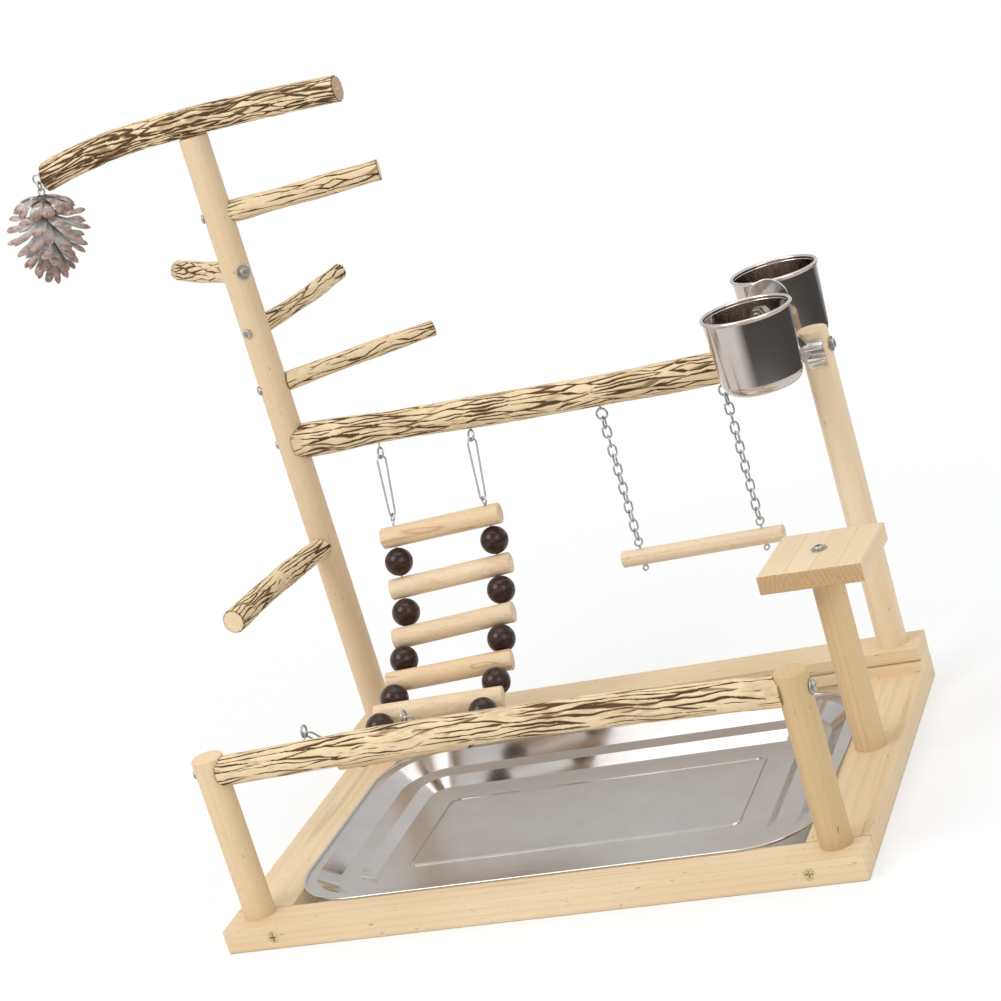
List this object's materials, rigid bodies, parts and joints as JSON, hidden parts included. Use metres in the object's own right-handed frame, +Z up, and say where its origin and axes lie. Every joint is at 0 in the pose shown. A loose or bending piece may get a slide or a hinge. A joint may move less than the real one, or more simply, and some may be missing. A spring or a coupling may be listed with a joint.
{
  "type": "parrot play stand",
  "caption": "Wooden bird play stand with a steel tray, branch perches, bead ladder, chain swing, round feeding cups, a small platform and a hanging pine cone.",
  "frame": {"origin": "floor level, at the middle of the front rail's underside", "axes": "+X to the right along the front rail, +Y to the back, +Z up"},
  "size_m": [0.7108, 0.4834, 0.6124],
  "materials": {
    "frame_wood": "satin",
    "post_wood": "satin",
    "platform_wood": "satin",
    "perch_wood": "satin",
    "dowel_wood": "satin",
    "bead_wood": "gloss",
    "tray_steel": "polished",
    "cup_steel": "polished",
    "bracket_chrome": "polished",
    "brassy_screw": "satin",
    "cone": "matte",
    "zinc_wire": "bright",
    "zinc_screw": "bright"
  },
  "bodies": {
    "stand": {"back_board": "frame_wood", "back_left_perch": "perch_wood", "back_rail": "frame_wood", "back_right_perch": "perch_wood", "back_riser": "frame_wood", "cone_eye": "zinc_wire", "cup_bolt": "zinc_screw", "cup_bracket": "bracket_chrome", "cup_discs": "bracket_chrome", "cup_nuts": "zinc_screw", "cup_spacers": "bracket_chrome", "frame_screws": "brassy_screw", "front_left_perch": "perch_wood", "front_left_post": "post_wood", "front_perch": "perch_wood", "front_perch_eyes": "zinc_wire", "front_rail": "frame_wood", "front_right_post": "post_wood", "left_board": "frame_wood", "main_perch": "perch_wood", "main_perch_eyes": "zinc_wire", "middle_perch": "perch_wood", "perch_screws": "zinc_screw", "perch_washers": "zinc_screw", "platform_board": "platform_wood", "platform_post": "post_wood", "platform_screw": "zinc_screw", "platform_washer": "zinc_screw", "post_screws": "zinc_screw", "right_board": "frame_wood", "right_post": "post_wood", "tall_post": "post_wood", "top_perch": "perch_wood", "top_perch_screw": "zinc_screw", "upper_perch": "perch_wood"},
    "tray": {"tray": "tray_steel"},
    "swing": {"swing_dowel": "dowel_wood", "swing_dowel_eyes": "zinc_wire", "swing_chain_left": "zinc_wire", "swing_chain_right": "zinc_wire"},
    "top_hooks": {"ladder_top_hooks": "zinc_wire"},
    "ladder": {"ladder_beads_left": "bead_wood", "ladder_beads_right": "bead_wood", "ladder_rung_1": "dowel_wood", "ladder_rung_2": "dowel_wood", "ladder_rung_3": "dowel_wood", "ladder_rung_4": "dowel_wood", "ladder_rung_5": "dowel_wood", "ladder_rung_6": "dowel_wood", "ladder_rung_7": "dowel_wood", "ladder_wire_left": "zinc_wire", "ladder_wire_right": "zinc_wire"},
    "front_hooks": {"ladder_front_hooks": "zinc_wire"},
    "front_cup": {"front_cup": "cup_steel"},
    "back_cup": {"back_cup": "cup_steel"},
    "cone_wire": {"cone_link": "zinc_wire"},
    "pine_cone": {"pine_cone": "cone"}
  },
  "joints": [
    {"name": "tray_lift", "type": "slide", "parent": "stand", "child": "tray", "axis": [0, 0, 1], "range_m": [0, 0.05]},
    {"name": "swing_pivot", "type": "hinge", "parent": "stand", "child": "swing", "pos_m": [0.09925, 0.319, 0.27837], "axis": [1, 0, 0], "range_deg": [-60, 60]},
    {"name": "ladder_top_hooks_pivot", "type": "hinge", "parent": "stand", "child": "top_hooks", "pos_m": [-0.1125, 0.30965, 0.28405], "axis": [1, 0, 0], "range_deg": [-6, 6]},
    {"name": "ladder_pivot", "type": "hinge", "parent": "top_hooks", "child": "ladder", "pos_m": [-0.1125, 0.29759, 0.23707], "axis": [1, 0, 0], "range_deg": [-7.18, 7.18]},
    {"name": "ladder_front_hooks_pivot", "type": "hinge", "parent": "stand", "child": "front_hooks", "pos_m": [-0.1125, 0.02476, 0.16017], "axis": [1, 0, 0], "range_deg": [-4.75, 4.75]},
    {"name": "front_cup_tilt", "type": "hinge", "parent": "stand", "child": "front_cup", "pos_m": [0.203, 0.297, 0.3455], "axis": [0, 1, 0], "range_deg": [-90, 90]},
    {"name": "back_cup_tilt", "type": "hinge", "parent": "stand", "child": "back_cup", "pos_m": [0.203, 0.341, 0.3455], "axis": [0, 1, 0], "range_deg": [-90, 90]},
    {"name": "cone_side_swing", "type": "hinge", "parent": "stand", "child": "cone_wire", "pos_m": [-0.391, 0.319, 0.585], "axis": [0, 1, 0], "range_deg": [-10, 15]},
    {"name": "cone_front_swing", "type": "hinge", "parent": "cone_wire", "child": "pine_cone", "pos_m": [-0.391, 0.319, 0.5769], "axis": [1, 0, 0], "range_deg": [-20, 20]}
  ],
  "couplings": [
    {"joint": "ladder_pivot", "follows": "ladder_top_hooks_pivot", "ratio": -1.188},
    {"joint": "ladder_front_hooks_pivot", "follows": "ladder_top_hooks_pivot", "ratio": 0.7839}
  ]
}
